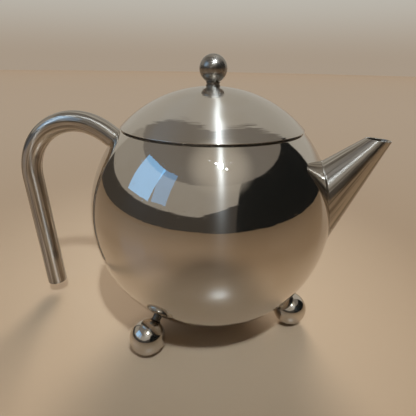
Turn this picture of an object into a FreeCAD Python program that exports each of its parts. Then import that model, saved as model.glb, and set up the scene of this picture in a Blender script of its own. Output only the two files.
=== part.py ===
import FreeCAD, Part

import math
import os

from FreeCAD import Placement, Rotation, Vector

# A ball-shaped teapot of polished stainless steel: lift-off lid, straight conical spout,
# open hook handle and three ball feet. Millimetres and degrees. The origin is on the body's
# axis, on the surface that the feet stand on. +X points to the spout and +Z points up.

# Body and mouth: two pressed halves, joined level at a rise above the body's centre
body_diameter = 140.0
body_wall = 1.0
body_join_rise = 0.0
mouth_diameter = 101.4
rim_rounding = 0.4

# Seat ring inside the mouth
seat_drop = 0.9
seat_ledge_width = 5.4
seat_lip_depth = 5.0
seat_thickness = 1.0

# Lid and its stepped locating ring
lid_proud = 1.0
lid_wall = 1.0
lid_seam = 1.1
lid_edge_rounding = 0.35
lid_fit_clearance = 0.4
lid_shoulder_clearance = 1.0
lid_skirt_depth = 8.0
lid_ring_thickness = 0.8

# Knob, held by a screw from under the lid
knob_diameter = 15.0
knob_neck_diameter = 7.8
knob_neck_height = 2.5
knob_screw_diameter = 4.0
knob_screw_grip = 7.0
knob_hole_spare = 1.0
screw_hole_clearance = 0.2
screw_head_diameter = 7.6
screw_head_height = 2.4
screw_socket_width = 2.5
screw_socket_depth = 1.3
knob_washer_diameter = 12.0
knob_washer_thickness = 1.0

# Spout: heights are above the body's centre, the reach is from the body's axis
spout_root_top = 33.1
spout_root_bottom = -14.1
spout_mouth_reach = 89.0
spout_mouth_height = 46.6
spout_mouth_length = 13.1
spout_mouth_tilt = 5.9
spout_wall = 0.9

# Strainer holes through the body wall behind the spout
strainer_hole_diameter = 3.6
strainer_pitch = 5.8
strainer_margin = 1.5

# Handle: a bent tube welded on at its upper end, capped at its free end
handle_diameter = 12.7
handle_wall = 1.2
handle_root_elevation = 33.3
handle_first_run = 7.8
handle_bend_radius = 34.8
handle_bend_angle = 128.4
handle_leg_length = 77.5
handle_cap_thickness = 1.6
handle_cap_spigot = 5.0
handle_cap_rounding = 0.9

# Feet
foot_names = ("front", "left", "right")
foot_tilt = 39.5
foot_ball_diameter = 20.5
foot_flat_diameter = 4.0
foot_neck_length = 3.2
foot_stud_diameter = 5.0
foot_stud_grip = 6.0
foot_hole_spare = 0.5

# Worked out from the sizes above
body_radius = body_diameter / 2
body_bore = body_radius - body_wall
mouth_radius = mouth_diameter / 2
foot_radius = foot_ball_diameter / 2
foot_reach = body_radius + foot_neck_length + foot_radius
foot_stand = math.sqrt(foot_radius ** 2 - (foot_flat_diameter / 2) ** 2)
body_height = foot_reach * math.cos(math.radians(foot_tilt)) + foot_stand
body_centre = Vector(0, 0, body_height)
body_join_z = body_height + body_join_rise

rim_rise = math.sqrt(body_radius ** 2 - mouth_radius ** 2)
rim_z = body_height + rim_rise
rim_bore_radius = math.sqrt(body_bore ** 2 - rim_rise ** 2)
ledge_z = rim_z - seat_drop
seat_bore_radius = rim_bore_radius - seat_ledge_width

lid_radius = body_radius + lid_proud
lid_bore = lid_radius - lid_wall
lid_edge_z = rim_z + lid_seam
lid_edge_radius = math.sqrt(lid_radius ** 2 - (lid_edge_z - body_height) ** 2)
lid_top_z = body_height + lid_radius
skirt_radius = seat_bore_radius - lid_fit_clearance
shoulder_radius = rim_bore_radius - lid_shoulder_clearance

knob_radius = knob_diameter / 2
knob_neck_radius = knob_neck_diameter / 2
knob_flat_z = lid_top_z + knob_neck_height
knob_centre = Vector(0, 0, knob_flat_z + math.sqrt(knob_radius ** 2 - knob_neck_radius ** 2))
screw_radius = knob_screw_diameter / 2
screw_hole_radius = screw_radius + screw_hole_clearance
washer_radius = knob_washer_diameter / 2
washer_z = body_height + math.sqrt(lid_bore ** 2 - washer_radius ** 2) - knob_washer_thickness


def ball(radius, centre=body_centre):
    """A solid ball."""
    return Part.makeSphere(radius, centre)


def rod(radius, start, direction, length):
    """A solid cylinder from a point along a direction."""
    return Part.makeCylinder(radius, length, start, direction)


def ring_of(points):
    """A solid of revolution about the body's axis from a closed outline of radius and height pairs."""
    corners = [Vector(radius, 0, height) for radius, height in points]
    outline = Part.makePolygon(corners + corners[:1])
    return Part.Face(outline).revolve(Vector(0, 0, 0), Vector(0, 0, 1), 360)


def slab_below(height):
    """A block that holds everything below a height, as wide as the whole teapot."""
    side = 4 * body_diameter
    return Part.makeBox(side, side, side, Vector(-side / 2, -side / 2, height - side))


def slab_above(height):
    """A block that holds everything above a height, as wide as the whole teapot."""
    side = 4 * body_diameter
    return Part.makeBox(side, side, side, Vector(-side / 2, -side / 2, height))


def level_edges(shape, height, radius):
    """The round edges of a shape that lie level at a height with a radius."""
    found = []
    for edge in shape.Edges:
        box = edge.BoundBox
        level = abs(box.ZMin - height) < 0.01 and abs(box.ZMax - height) < 0.01
        if level and hasattr(edge.Curve, "Radius") and abs(edge.Curve.Radius - radius) < 0.01:
            found.append(edge)
    return found


def spout_lines():
    """The spout's upper and lower edges in the XZ plane: two points on the body and two at the mouth."""
    half_length = spout_mouth_length / 2
    tilt = math.radians(spout_mouth_tilt)
    along_mouth = Vector(math.cos(tilt), 0, -math.sin(tilt))
    mouth = body_centre + Vector(spout_mouth_reach, 0, spout_mouth_height)
    top_reach = math.sqrt(body_radius ** 2 - spout_root_top ** 2)
    bottom_reach = math.sqrt(body_radius ** 2 - spout_root_bottom ** 2)
    root_top = body_centre + Vector(top_reach, 0, spout_root_top)
    root_bottom = body_centre + Vector(bottom_reach, 0, spout_root_bottom)
    return root_top, root_bottom, mouth - along_mouth * half_length, mouth + along_mouth * half_length


def spout_cone():
    """The cone through the spout's edges: its apex, its axis towards the body and its half angle."""
    root_top, root_bottom, mouth_top, mouth_bottom = spout_lines()
    upper = (root_top - mouth_top).normalize()
    lower = (root_bottom - mouth_bottom).normalize()
    across = mouth_bottom - mouth_top
    spread = upper.x * lower.z - upper.z * lower.x
    run = (across.x * lower.z - across.z * lower.x) / spread
    apex = mouth_top + upper * run
    axis = (upper + lower).normalize()
    return apex, axis, upper.getAngle(lower) / 2


def cone_along(apex, axis, half_angle, near, far, inset=0.0):
    """A solid cone between two distances from the apex, its side moved in by an inset."""
    thinner = inset / math.cos(half_angle)
    near_radius = near * math.tan(half_angle) - thinner
    far_radius = far * math.tan(half_angle) - thinner
    return Part.makeCone(near_radius, far_radius, far - near, apex + axis * near, axis)


def strainer_holes():
    """Punches for the holes in the body wall, on a triangular grid inside the spout's root."""
    apex, axis, half_angle = spout_cone()
    to_apex = apex - body_centre
    back = to_apex.dot(axis)
    reach = -back - math.sqrt(back ** 2 - to_apex.dot(to_apex) + body_radius ** 2)
    middle = apex + axis * reach
    outward = (middle - body_centre).normalize()
    sideways = Vector(0, 1, 0)
    upward = outward.cross(sideways) * -1
    limit = reach * math.tan(half_angle) - spout_wall - strainer_margin - strainer_hole_diameter / 2
    row_pitch = strainer_pitch * math.sqrt(3) / 2
    rows = int(limit / row_pitch)
    columns = int(limit / strainer_pitch) + 1
    punches = []
    for row in range(-rows, rows + 1):
        stagger = 0.5 * (row % 2)
        for column in range(-columns, columns + 1):
            across = (column + stagger) * strainer_pitch
            up = row * row_pitch
            if math.hypot(across, up) <= limit:
                start = body_centre + outward * (body_bore - limit) + sideways * across + upward * up
                punches.append(rod(strainer_hole_diameter / 2, start, outward, 2 * limit))
    return punches


def body_shell():
    """The whole spherical shell, cut level at the mouth and punched behind the spout."""
    shell = ball(body_radius).cut(ball(body_bore)).cut(slab_above(rim_z))
    shell = shell.makeFillet(rim_rounding, level_edges(shell, rim_z, mouth_radius))
    return shell.cut(strainer_holes())


def body_upper():
    """The body's upper half, with the mouth and the strainer holes."""
    return body_shell().cut(slab_below(body_join_z))


def body_lower():
    """The body's lower half, a plain bowl."""
    return body_shell().cut(slab_above(body_join_z))


def lid_seat_ring():
    """The ledge welded inside the mouth, with a lip turned down at its bore."""
    lip_radius = seat_bore_radius + seat_thickness
    flange_z = ledge_z - seat_thickness
    lip_z = ledge_z - seat_lip_depth
    outline = [
        (seat_bore_radius, lip_z),
        (lip_radius, lip_z),
        (lip_radius, flange_z),
        (body_radius, flange_z),
        (body_radius, ledge_z),
        (seat_bore_radius, ledge_z),
    ]
    return ring_of(outline).common(ball(body_bore))


def spout():
    """The hollow cone, coped to the body and cut off at its mouth."""
    root_bottom, mouth_top, mouth_bottom = spout_lines()[1:]
    apex, axis, half_angle = spout_cone()
    edge = (mouth_bottom - root_bottom).normalize()
    chord_middle = root_bottom - edge * (root_bottom - body_centre).dot(edge)
    far = (chord_middle - apex).dot(axis)
    near = (mouth_bottom - apex).dot(axis) - spout_wall
    outside = cone_along(apex, axis, half_angle, near, far)
    inside = cone_along(apex, axis, half_angle, near, far, spout_wall)
    opening = slab_above(0)
    opening.Placement = Placement(mouth_top, Rotation(Vector(0, 1, 0), spout_mouth_tilt))
    return outside.cut(inside).cut(ball(body_radius)).cut(opening)


def handle_line():
    """The handle's centre line: a point inside the body, both ends of the bend, and the free end."""
    rise = math.radians(handle_root_elevation)
    turn = math.radians(handle_bend_angle)
    outward = Vector(-math.cos(rise), 0, math.sin(rise))
    inward = Vector(-math.sin(rise), 0, -math.cos(rise))
    start = body_centre + outward * (body_radius - handle_diameter)
    bend_start = body_centre + outward * (body_radius + handle_first_run)
    bend_centre = bend_start + inward * handle_bend_radius
    half_way = outward * math.sin(turn / 2) - inward * math.cos(turn / 2)
    whole_way = outward * math.sin(turn) - inward * math.cos(turn)
    bend_middle = bend_centre + half_way * handle_bend_radius
    bend_end = bend_centre + whole_way * handle_bend_radius
    leg = outward * math.cos(turn) + inward * math.sin(turn)
    return start, bend_start, bend_middle, bend_end, leg


def handle_rod(radius):
    """A solid bar along the handle's centre line, as far as its end cap."""
    start, bend_start, bend_middle, bend_end, leg = handle_line()
    leg_end = bend_end + leg * (handle_leg_length - handle_cap_thickness)
    runs = [
        Part.LineSegment(start, bend_start).toShape(),
        Part.Arc(bend_start, bend_middle, bend_end).toShape(),
        Part.LineSegment(bend_end, leg_end).toShape(),
    ]
    section = Part.Wire([Part.Circle(start, bend_start - start, radius).toShape()])
    return Part.Wire(runs).makePipeShell([section], True, False)


def handle_tube():
    """The bent tube, coped to the body."""
    radius = handle_diameter / 2
    tube = handle_rod(radius).cut(handle_rod(radius - handle_wall))
    return tube.cut(ball(body_radius))


def handle_end_cap():
    """The plug that closes the tube's free end, its rim rounded over."""
    bend_end, leg = handle_line()[-2:]
    seat = bend_end + leg * (handle_leg_length - handle_cap_thickness)
    radius = handle_diameter / 2
    disc = Part.makeCylinder(radius, handle_cap_thickness)
    disc = disc.makeFillet(handle_cap_rounding, level_edges(disc, handle_cap_thickness, radius))
    spigot_start = Vector(0, 0, -handle_cap_spigot)
    spigot = rod(radius - handle_wall, spigot_start, Vector(0, 0, 1), handle_cap_spigot)
    cap = disc.fuse(spigot).removeSplitter()
    cap.Placement = Placement(seat, Rotation(Vector(0, 0, 1), leg))
    return cap


def foot_direction(turn):
    """The way from the body's centre to a foot, at a turn about the body's axis."""
    tilt = math.radians(foot_tilt)
    angle = math.radians(turn)
    side = math.sin(tilt)
    return Vector(side * math.cos(angle), side * math.sin(angle), -math.cos(tilt))


def foot_ball(turn):
    """One ball foot, ground flat where it stands and drilled for its stud."""
    outward = foot_direction(turn)
    body_side = body_centre + outward * body_radius
    hole_length = foot_neck_length + foot_stud_grip + foot_hole_spare
    hole = rod(foot_stud_diameter / 2, body_side, outward, hole_length)
    return ball(foot_radius, body_centre + outward * foot_reach).cut(hole).cut(slab_below(0))


def foot_stud(turn):
    """The stud that joins one ball foot to the body."""
    outward = foot_direction(turn)
    start = body_centre + outward * (body_radius - foot_stud_diameter)
    length = foot_stud_diameter + foot_neck_length + foot_stud_grip
    return rod(foot_stud_diameter / 2, start, outward, length).cut(ball(body_radius))


def lid_shell():
    """The domed lid, with a hole for the knob's screw."""
    shell = ball(lid_radius).cut(ball(lid_bore)).cut(slab_below(lid_edge_z))
    shell = shell.makeFillet(lid_edge_rounding, level_edges(shell, lid_edge_z, lid_edge_radius))
    hole = rod(screw_hole_radius, body_centre, Vector(0, 0, 1), 2 * lid_radius)
    return shell.cut(hole)


def lid_locating_ring():
    """The stepped ring under the lid: a skirt in the mouth, a shoulder on the ledge, a welded upstand."""
    skirt_z = ledge_z - lid_skirt_depth
    shoulder_z = ledge_z + lid_ring_thickness
    outline = [
        (skirt_radius - lid_ring_thickness, skirt_z),
        (skirt_radius, skirt_z),
        (skirt_radius, ledge_z),
        (shoulder_radius, ledge_z),
        (shoulder_radius, lid_top_z),
        (shoulder_radius - lid_ring_thickness, lid_top_z),
        (shoulder_radius - lid_ring_thickness, shoulder_z),
        (skirt_radius - lid_ring_thickness, shoulder_z),
    ]
    return ring_of(outline).common(ball(lid_bore))


def knob_ball():
    """The ball on the lid, cut flat on its neck and tapped for the screw."""
    hole_length = knob_screw_grip + knob_hole_spare
    hole = rod(screw_radius, Vector(0, 0, knob_flat_z), Vector(0, 0, 1), hole_length)
    return ball(knob_radius, knob_centre).cut(slab_below(knob_flat_z)).cut(hole)


def knob_neck():
    """The collar between the lid and the ball, coped to the lid."""
    start = Vector(0, 0, lid_top_z - knob_neck_radius)
    length = knob_neck_radius + knob_neck_height
    collar = rod(knob_neck_radius, start, Vector(0, 0, 1), length)
    hole = rod(screw_hole_radius, start, Vector(0, 0, 1), length)
    return collar.cut(hole).cut(ball(lid_radius))


def knob_washer():
    """The dished washer that fits the lid's inside under the screw's head."""
    start = Vector(0, 0, washer_z)
    disc = rod(washer_radius, start, Vector(0, 0, 1), washer_radius)
    hole = rod(screw_hole_radius, start, Vector(0, 0, 1), washer_radius)
    return disc.cut(hole).common(ball(lid_bore))


def knob_screw():
    """The screw that holds the knob, with a socket in its head."""
    head_z = washer_z - screw_head_height
    shank_length = knob_flat_z + knob_screw_grip - washer_z
    head = rod(screw_head_diameter / 2, Vector(0, 0, head_z), Vector(0, 0, 1), screw_head_height)
    shank = rod(screw_radius, Vector(0, 0, washer_z), Vector(0, 0, 1), shank_length)
    corner = screw_socket_width / math.sqrt(3)
    corners = []
    for step in range(7):
        angle = math.radians(60 * step)
        corners.append(Vector(corner * math.cos(angle), corner * math.sin(angle), head_z))
    socket = Part.Face(Part.makePolygon(corners)).extrude(Vector(0, 0, screw_socket_depth))
    return head.fuse(shank).removeSplitter().cut(socket)


pieces = {
    "body_upper": body_upper(),
    "body_lower": body_lower(),
    "lid_seat_ring": lid_seat_ring(),
    "spout": spout(),
    "handle_tube": handle_tube(),
    "handle_end_cap": handle_end_cap(),
    "lid_shell": lid_shell(),
    "lid_locating_ring": lid_locating_ring(),
    "knob_ball": knob_ball(),
    "knob_neck": knob_neck(),
    "knob_screw": knob_screw(),
    "knob_washer": knob_washer(),
}
for number, name in enumerate(foot_names):
    foot_turn = number * 360 / len(foot_names)
    pieces["foot_ball_" + name] = foot_ball(foot_turn)
    pieces["foot_stud_" + name] = foot_stud(foot_turn)

os.makedirs("parts", exist_ok=True)
for node, shape in pieces.items():
    shape.exportStep("parts/" + node + ".step")
    print(node, "solids", len(shape.Solids), "valid", shape.isValid(), "mm3", round(shape.Volume, 1))
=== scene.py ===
"""Ball teapot in polished stainless steel: its visible pieces, their finishes and the studio."""

import logging
import math
from contextlib import contextmanager
from dataclasses import dataclass, field
from enum import Enum
from typing import Callable, Iterator, Sequence

import bmesh
import bpy
from mathutils import Euler, Matrix, Vector


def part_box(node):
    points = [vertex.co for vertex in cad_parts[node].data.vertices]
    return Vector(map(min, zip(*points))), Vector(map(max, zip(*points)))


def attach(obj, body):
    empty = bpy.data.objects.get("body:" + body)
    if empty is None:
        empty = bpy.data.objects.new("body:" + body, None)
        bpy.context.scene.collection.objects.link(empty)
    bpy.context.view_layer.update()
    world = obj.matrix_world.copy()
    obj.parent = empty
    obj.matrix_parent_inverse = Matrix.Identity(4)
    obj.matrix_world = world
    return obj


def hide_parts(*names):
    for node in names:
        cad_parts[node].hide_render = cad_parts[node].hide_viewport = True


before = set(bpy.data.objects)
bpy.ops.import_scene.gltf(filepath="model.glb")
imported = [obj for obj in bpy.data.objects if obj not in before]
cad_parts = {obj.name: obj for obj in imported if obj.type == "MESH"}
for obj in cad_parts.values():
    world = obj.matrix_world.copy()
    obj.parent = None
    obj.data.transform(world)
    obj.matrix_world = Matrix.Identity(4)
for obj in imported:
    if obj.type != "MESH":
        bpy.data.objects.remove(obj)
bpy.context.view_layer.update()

Colour = tuple[float, float, float]
Edge = bmesh.types.BMEdge
Limits = tuple[float, float]
Piece = bpy.types.Object
Profile = Sequence[tuple[float, float]]
Socket = bpy.types.NodeSocket
Steel = bpy.types.Material

MM = 0.001
ORIGIN = Vector((0.0, 0.0, 0.0))
UP = Vector((0.0, 0.0, 1.0))
DOWN = Vector((0.0, 0.0, -1.0))
SIDEWAYS = Vector((0.0, 1.0, 0.0))

# Sizes that more than one piece has.
SHEET = 1.0 * MM
LID_PROUD = 1.0 * MM
SEAT_DROP = 0.9 * MM
LID_HOLE = 2.2 * MM
FLOOR_Z = 0.0

# How finely round shapes and roundings are divided.
SHELL_SEGMENTS = 192
SHELL_RINGS = 112
BALL_SEGMENTS = 96
BALL_RINGS = 64
FILLET_STEPS = 6
RIM_STEPS = 5
EDGE_STEPS = 3
SEAM_STEPS = 2

# The angles in degrees past which edges stay sharp.
SHARP = 40.0
TUBE_SHARP = 35.0
TRIM_SHARP = 30.0

# How far off a circle a point may be and still be picked with it.
SLACK = 0.02 * MM
CUT_SLACK = 0.05 * MM

# How near points are that count as one, in general and in a saw cut.
SAME_PLACE = 0.001 * MM
SAME_CUT = 0.0001 * MM

# The attributes that keep a place on a tube's run and the tube's direction there.
RUN = "tube_run"
WAY = "tube_way"

log = logging.getLogger("teapot")


class Body(Enum):
    """The two bodies that move apart."""

    POT = "pot"
    LID = "lid"


class Slot(Enum):
    """The record's material slots."""

    POLISHED = "polished_steel"
    SATIN = "satin_steel"


def level(height: float) -> Vector:
    """Give the point of the upright axis at a height."""
    return Vector((0.0, 0.0, height))


def half_width(radius: float, rise: float) -> float:
    """Give how far a ball reaches from its axis at a rise above its centre."""
    return math.sqrt(radius ** 2 - rise ** 2)


def facing(way: Vector) -> Euler:
    """Give the turn that points an upright thing along a way."""
    return way.to_track_quat("Z", "Y").to_euler()


@dataclass(frozen=True)
class Layout:
    """Where the frame puts the round body and the lid."""

    centre: Vector
    radius: float
    rim_z: float
    lid_radius: float
    lid_edge_z: float

    @classmethod
    def from_frame(cls) -> "Layout":
        """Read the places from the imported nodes.

        Returns:
            The layout, in metres.
        """
        low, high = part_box("body_lower")
        radius = (high.y - low.y) / 2
        rim_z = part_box("body_upper")[1].z
        lid_edge_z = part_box("lid_shell")[0].z
        return cls(level(low.z + radius), radius, rim_z, radius + LID_PROUD, lid_edge_z)

    def ledge_z(self) -> float:
        """Give the height of the ledge that the lid stands on."""
        return self.rim_z - SEAT_DROP

    def lid_inside_z(self, radius: float) -> float:
        """Give the height of the lid's inside at a radius."""
        return self.centre.z + half_width(self.lid_radius - SHEET, radius)

    def above(self, place: Vector) -> float:
        """Give how far a place is out from the body's surface."""
        return (place - self.centre).length - self.radius


@dataclass
class Workpiece:
    """One mesh object on the bench, shaped with edit-mode operators."""

    piece: Piece

    @classmethod
    def added(cls, name: str, add: Callable[..., object], **options: object) -> "Workpiece":
        """Add a primitive at its size and place.

        Args:
            name: The piece's name.
            add: The operator that adds the primitive.
            options: What the operator is given.

        Returns:
            The workpiece.
        """
        bpy.ops.object.select_all(action="DESELECT")
        add(**options)
        work = cls(bpy.context.active_object)
        work.settle(name)
        return work

    @classmethod
    def ball(cls, name: str, centre: Vector, radius: float, segments: int, rings: int) -> "Workpiece":
        """Start from a ball, with a number of faces around it and from pole to pole."""
        return cls.added(name, bpy.ops.mesh.primitive_uv_sphere_add, segments=segments, ring_count=rings,
                         radius=radius, location=centre)

    @classmethod
    def hoop(cls, name: str, centre: Vector, axis: Vector, radius: float, points: int) -> "Workpiece":
        """Start from a bare circle about an axis."""
        return cls.added(name, bpy.ops.mesh.primitive_circle_add, vertices=points, radius=radius,
                         fill_type="NOTHING", location=centre, rotation=facing(axis))

    @classmethod
    def shell(cls, name: str, centre: Vector, radius: float, edge_z: float, cut_off: Vector,
              rounding: float) -> "Workpiece":
        """Model a ball of sheet steel, cut open at a level, with a rounded outer edge.

        Args:
            name: The piece's name.
            centre: The ball's centre.
            radius: Its outer radius.
            edge_z: The height of the cut.
            cut_off: The side that is cut off.
            rounding: The edge's rounding.

        Returns:
            The workpiece.
        """
        work = cls.ball(name, centre, radius, SHELL_SEGMENTS, SHELL_RINGS)
        with work.editing():
            bpy.ops.mesh.select_all(action="SELECT")
            bpy.ops.mesh.duplicate()
            work.scale_about(centre, (radius - SHEET) / radius)
            bpy.ops.mesh.flip_normals()
            work.saw(level(edge_z), cut_off)
            work.pick_open_edges()
            bpy.ops.mesh.bridge_edge_loops()
            work.round_circle(level(edge_z), half_width(radius, edge_z - centre.z), rounding, RIM_STEPS)
        return work

    @classmethod
    def flat_ball(cls, name: str, centre: Vector, radius: float, flat_z: float,
                  rounding: float) -> "Workpiece":
        """Model a ball that is cut flat below.

        Args:
            name: The piece's name.
            centre: The ball's centre.
            radius: Its radius.
            flat_z: The height of the flat.
            rounding: The rounding of the flat's edge.

        Returns:
            The workpiece.
        """
        work = cls.ball(name, centre, radius, BALL_SEGMENTS, BALL_RINGS)
        flat = Vector((centre.x, centre.y, flat_z))
        with work.editing():
            work.saw(flat, DOWN, True)
            work.round_circle(flat, half_width(radius, centre.z - flat_z), rounding, EDGE_STEPS,
                              slack=CUT_SLACK)
        work.smooth()
        return work

    @classmethod
    def turned(cls, name: str, start: Vector, axis: Vector, profile: Profile, points: int,
               is_ring: bool) -> "Workpiece":
        """Draw a circle along an axis through a profile, as on a lathe.

        Args:
            name: The piece's name.
            start: The point that distances are measured from.
            axis: The lathe's axis.
            profile: Pairs of radius and distance along the axis.
            points: Points around each circle.
            is_ring: True for a ring, whose profile comes back to its start; else both ends get a face.

        Returns:
            The workpiece.
        """
        radius, distance = profile[0]
        work = cls.hoop(name, start + axis * distance, axis, radius, points)
        with work.editing():
            bpy.ops.mesh.select_all(action="SELECT")
            if not is_ring:
                bpy.ops.mesh.edge_face_add()
                bpy.ops.mesh.select_all(action="SELECT")
            for new_radius, new_distance in profile[1:]:
                work.draw_out(axis * (new_distance - distance))
                work.scale_about(start + axis * new_distance, new_radius / radius)
                radius, distance = new_radius, new_distance
            work.pick_open_edges()
            if is_ring:
                bpy.ops.mesh.bridge_edge_loops()
            else:
                bpy.ops.mesh.edge_face_add()
            work.face_outward()
        return work

    @classmethod
    def turned_upright(cls, name: str, profile: Profile, points: int, corners: Profile, rounding: float,
                       steps: int = EDGE_STEPS, degrees: float = TRIM_SHARP,
                       is_ring: bool = True) -> "Workpiece":
        """Turn a piece about the upright axis, round some of its corners and smooth it.

        Args:
            name: The piece's name.
            profile: Pairs of radius and height.
            points: Points around each circle.
            corners: The radius and height of each corner that is rounded.
            rounding: The size of the rounding.
            steps: Its steps.
            degrees: The angle past which edges stay sharp.
            is_ring: True for a ring; else both ends get a face.

        Returns:
            The workpiece.
        """
        work = cls.turned(name, ORIGIN, UP, profile, points, is_ring)
        with work.editing():
            for radius, height in corners:
                work.round_circle(level(height), radius, rounding, steps)
        work.smooth(degrees)
        return work

    def copied(self, name: str, step: Vector = ORIGIN, turn: float = 0.0) -> "Workpiece":
        """Copy the piece with its mesh, then move the copy and turn it about the upright axis.

        Args:
            name: The copy's name.
            step: How far it moves.
            turn: How far it turns, in radians.

        Returns:
            The copy.
        """
        self.choose()
        bpy.ops.object.duplicate(linked=False)
        copy = Workpiece(bpy.context.active_object)
        copy.piece.location = step
        copy.piece.rotation_euler = (0.0, 0.0, turn)
        copy.settle(name)
        return copy

    def settle(self, name: str) -> None:
        """Name the selected piece and put its place into its mesh.

        Args:
            name: Its name.
        """
        self.piece.name = name
        self.piece.data.name = name
        bpy.ops.object.transform_apply(location=True, rotation=True, scale=True)

    def choose(self) -> None:
        """Select this piece alone and make it the active one."""
        bpy.ops.object.select_all(action="DESELECT")
        self.piece.select_set(True)
        bpy.context.view_layer.objects.active = self.piece

    @contextmanager
    def editing(self) -> Iterator[None]:
        """Edit this piece alone, with nothing selected at first."""
        self.choose()
        bpy.ops.object.mode_set(mode="EDIT")
        bpy.ops.mesh.select_mode(type="VERT")
        bpy.ops.mesh.select_all(action="DESELECT")
        yield
        bpy.ops.object.mode_set(mode="OBJECT")

    def pick(self, kind: str, wanted: Callable[..., bool]) -> None:
        """Select the points or the edges that pass a test.

        Args:
            kind: VERT for points, with what lies between them, or EDGE for edges.
            wanted: The test of a point or an edge.
        """
        bpy.ops.mesh.select_mode(type=kind)
        bpy.ops.mesh.select_all(action="DESELECT")
        mesh = bmesh.from_edit_mesh(self.piece.data)
        for part in mesh.verts if kind == "VERT" else mesh.edges:
            if wanted(part):
                part.select_set(True)
        if kind == "VERT":
            mesh.select_flush(True)
        bmesh.update_edit_mesh(self.piece.data)

    def move_points(self, move: Callable[[Vector], Vector]) -> list[Vector]:
        """Move each selected point to a place of its own.

        Args:
            move: Gives the new place for an old one.

        Returns:
            The new places.
        """
        mesh = bmesh.from_edit_mesh(self.piece.data)
        picked = [point for point in mesh.verts if point.select]
        for point in picked:
            point.co = move(point.co)
        bmesh.update_edit_mesh(self.piece.data)
        return [point.co.copy() for point in picked]

    def pick_open_edges(self) -> None:
        """Select the edges that only one face has."""
        self.pick("EDGE", lambda edge: edge.is_boundary)

    def round_circle(self, centre: Vector, radius: float, size: float, steps: int, axis: Vector = UP,
                     slack: float = SLACK) -> None:
        """Round the edges of a circle.

        Args:
            centre: The circle's centre.
            radius: Its radius.
            size: The size of the rounding.
            steps: Its steps.
            axis: The circle's axis.
            slack: How far a point may be off the circle.
        """
        def on_circle(place: Vector) -> bool:
            """Tell whether a point lies on the circle.

            Args:
                place: Where the point is.

            Returns:
                True where it does.
            """
            offset = place - centre
            rise = offset.dot(axis)
            return abs(rise) < slack and abs((offset - axis * rise).length - radius) < slack

        self.pick("EDGE", lambda edge: all(on_circle(point.co) for point in edge.verts))
        self.round_edges(size, steps)

    def round_edges(self, size: float, steps: int) -> None:
        """Bevel the selected edges to a rounding."""
        bpy.ops.mesh.bevel(offset=size, offset_type="OFFSET", segments=steps, profile=0.5, affect="EDGES",
                           clamp_overlap=False)

    def saw(self, place: Vector, away: Vector, fill: bool = False) -> None:
        """Cut off all on one side of a plane, and close the cut with a face where asked."""
        bpy.ops.mesh.select_all(action="SELECT")
        bpy.ops.mesh.bisect(plane_co=place, plane_no=away, clear_outer=True, use_fill=fill,
                            threshold=SAME_CUT)

    def draw_out(self, step: Vector) -> None:
        """Extrude what is selected by a step."""
        bpy.ops.mesh.extrude_region_move(TRANSFORM_OT_translate={"value": step})

    def scale_about(self, centre: Vector, factor: float) -> None:
        """Scale what is selected about a point."""
        bpy.ops.transform.resize(value=(factor, factor, factor), center_override=centre)

    def face_outward(self) -> None:
        """Turn all faces outward."""
        bpy.ops.mesh.select_all(action="SELECT")
        bpy.ops.mesh.normals_make_consistent(inside=False)

    def apply(self, kind: str, **settings: object) -> None:
        """Add a modifier and apply it.

        Args:
            kind: The modifier's type.
            settings: Its settings.
        """
        self.choose()
        modifier = self.piece.modifiers.new(kind.title(), kind)
        for name, value in settings.items():
            setattr(modifier, name, value)
        bpy.ops.object.modifier_apply(modifier=modifier.name)

    def thicken(self, wall: float) -> None:
        """Give a bare surface a wall on its inner side."""
        self.apply("SOLIDIFY", thickness=wall, offset=-1.0, use_even_offset=True, use_quality_normals=True)

    def smooth(self, degrees: float = SHARP) -> None:
        """Shade smooth, with sharp edges kept.

        Args:
            degrees: The angle past which edges stay sharp.
        """
        self.choose()
        bpy.ops.object.shade_smooth_by_angle(angle=math.radians(degrees))
        self.apply("WEIGHTED_NORMAL", keep_sharp=True, weight=50)

    def paint_where(self, wanted: Callable[[Vector, Vector], bool], index: int) -> None:
        """Give faces another material slot.

        Args:
            wanted: The test of a face's centre and normal.
            index: The slot's number.
        """
        for face in self.piece.data.polygons:
            if wanted(face.center, face.normal):
                face.material_index = index

    def paint_weld(self, layout: Layout, width: float) -> None:
        """Give the faces next to the body the second material slot."""
        self.paint_where(lambda place, _: 0 < layout.above(place) < width, 1)

    def mark_run(self, measure: Callable[[Vector], tuple[Vector, Vector]]) -> None:
        """Keep at each point where it lies on the run of a tube, and which way the tube goes there.

        Args:
            measure: Gives both for a place: the way round with the way along, and the tube's direction.
        """
        mesh = self.piece.data
        marks = [measure(point.co) for point in mesh.vertices]
        for number, name in enumerate((RUN, WAY)):
            values = mesh.attributes.new(name, "FLOAT_VECTOR", "POINT").data
            for entry, mark in zip(values, marks):
                entry.vector = mark[number]

    def finish(self, body: Body, nodes: Sequence[str], steels: Sequence[Steel],
               slot: Slot = Slot.POLISHED) -> Piece:
        """Dress the finished piece and tie it to the frame.

        Args:
            body: The body that it moves with.
            nodes: The nodes that it stands for.
            steels: Its materials, in slot order.
            slot: Not used.

        Returns:
            The piece.
        """
        piece = self.piece
        piece.data.materials.clear()
        for steel in steels:
            piece.data.materials.append(steel)
        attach(piece, body.value)
        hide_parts(*nodes)
        return piece


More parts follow.
